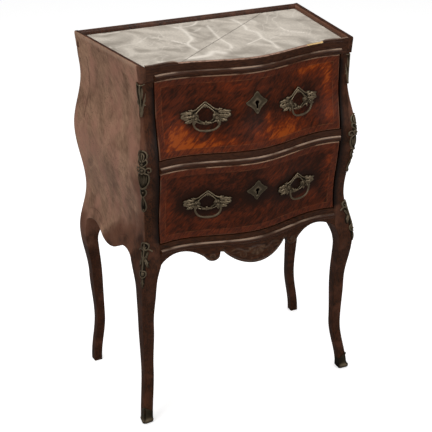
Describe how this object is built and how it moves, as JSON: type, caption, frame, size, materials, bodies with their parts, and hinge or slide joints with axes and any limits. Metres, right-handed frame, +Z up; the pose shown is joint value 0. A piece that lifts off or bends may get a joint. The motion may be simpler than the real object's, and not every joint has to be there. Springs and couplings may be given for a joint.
{
  "type": "nightstand",
  "caption": "Small bombé bedside commode on cabriole legs, with a serpentine front, drawers with drop handles, bronze mounts and an inset marble top that is broken across.",
  "frame": {"origin": "on the floor, under the middle of the whole object's box", "axes": "+Z up, -Y towards the front with the drawers, +X to the viewer's right when facing the front"},
  "size_m": [0.522, 0.3135, 0.74],
  "materials": {
    "rosewood_veneer": "shellac-polished rosewood veneer",
    "side_veneer": "worn polished veneer",
    "dark_hardwood": "stained and polished hardwood",
    "inner_wood": "plain unfinished softwood",
    "marble": "polished grey marble, worn",
    "patinated_bronze": "dark patinated bronze",
    "lock_iron": "blackened iron"
  },
  "bodies": {
    "carcass": {"apron": "dark_hardwood", "back_left_leg": "dark_hardwood", "back_right_leg": "dark_hardwood", "front_left_leg": "dark_hardwood", "front_right_leg": "dark_hardwood", "left_side_panel": "side_veneer", "right_side_panel": "side_veneer", "back_panel": "inner_wood", "top_rail": "dark_hardwood", "middle_rail": "dark_hardwood", "top_board": "inner_wood", "dust_board": "inner_wood", "bottom_board": "inner_wood", "left_rim": "dark_hardwood", "right_rim": "dark_hardwood", "back_rim": "dark_hardwood", "front_lip_left": "dark_hardwood", "front_lip_right": "dark_hardwood", "marble_left": "marble", "marble_right": "marble", "top_moulding": "dark_hardwood", "middle_moulding": "dark_hardwood", "lower_moulding": "dark_hardwood", "lower_drawer_guides": "inner_wood", "upper_drawer_guides": "inner_wood", "upper_mount_left": "patinated_bronze", "upper_mount_right": "patinated_bronze", "middle_mount_left": "patinated_bronze", "middle_mount_right": "patinated_bronze", "knee_mount_left": "patinated_bronze", "knee_mount_right": "patinated_bronze", "left_sabot": "patinated_bronze", "right_sabot": "patinated_bronze"},
    "upper_drawer": {"upper_drawer_front": "rosewood_veneer", "upper_drawer_left_side": "inner_wood", "upper_drawer_right_side": "inner_wood", "upper_drawer_back": "inner_wood", "upper_drawer_bottom": "inner_wood", "upper_drawer_lock_case": "lock_iron", "upper_drawer_escutcheon": "patinated_bronze", "upper_drawer_left_plate": "patinated_bronze", "upper_drawer_right_plate": "patinated_bronze", "upper_drawer_handle_nuts": "lock_iron"},
    "upper_drawer_right_bail": {"upper_drawer_right_bail": "patinated_bronze"},
    "upper_drawer_left_bail": {"upper_drawer_left_bail": "patinated_bronze"},
    "upper_drawer_lock_bolt": {"upper_drawer_lock_bolt": "lock_iron"},
    "lower_drawer": {"lower_drawer_front": "rosewood_veneer", "lower_drawer_left_side": "inner_wood", "lower_drawer_right_side": "inner_wood", "lower_drawer_back": "inner_wood", "lower_drawer_bottom": "inner_wood", "lower_drawer_lock_case": "lock_iron", "lower_drawer_escutcheon": "patinated_bronze", "lower_drawer_left_plate": "patinated_bronze", "lower_drawer_right_plate": "patinated_bronze", "lower_drawer_handle_nuts": "lock_iron"},
    "lower_drawer_right_bail": {"lower_drawer_right_bail": "patinated_bronze"},
    "lower_drawer_left_bail": {"lower_drawer_left_bail": "patinated_bronze"},
    "lower_drawer_lock_bolt": {"lower_drawer_lock_bolt": "lock_iron"}
  },
  "joints": [
    {"name": "upper_drawer_slide", "type": "slide", "parent": "carcass", "child": "upper_drawer", "axis": [0, -1, 0], "range_m": [0, 0.17]},
    {"name": "upper_drawer_right_bail_swing", "type": "hinge", "parent": "upper_drawer", "child": "upper_drawer_right_bail", "pos_m": [0.09614, -0.13205, 0.63445], "axis": [-0.9651, -0.2621, 0], "range_deg": [0, 90]},
    {"name": "upper_drawer_left_bail_swing", "type": "hinge", "parent": "upper_drawer", "child": "upper_drawer_left_bail", "pos_m": [-0.09614, -0.13205, 0.63445], "axis": [-0.9651, 0.2621, 0], "range_deg": [0, 90]},
    {"name": "upper_drawer_lock_bolt_slide", "type": "slide", "parent": "upper_drawer", "child": "upper_drawer_lock_bolt", "axis": [0, 0, 1], "range_m": [0, 0.008]},
    {"name": "lower_drawer_slide", "type": "slide", "parent": "carcass", "child": "lower_drawer", "axis": [0, -1, 0], "range_m": [0, 0.17]},
    {"name": "lower_drawer_right_bail_swing", "type": "hinge", "parent": "lower_drawer", "child": "lower_drawer_right_bail", "pos_m": [0.09614, -0.13274, 0.4645], "axis": [-0.9651, -0.2621, 0], "range_deg": [0, 90]},
    {"name": "lower_drawer_left_bail_swing", "type": "hinge", "parent": "lower_drawer", "child": "lower_drawer_left_bail", "pos_m": [-0.09614, -0.13274, 0.4645], "axis": [-0.9651, 0.2621, 0], "range_deg": [0, 90]},
    {"name": "lower_drawer_lock_bolt_slide", "type": "slide", "parent": "lower_drawer", "child": "lower_drawer_lock_bolt", "axis": [0, 0, 1], "range_m": [0, 0.008]}
  ]
}
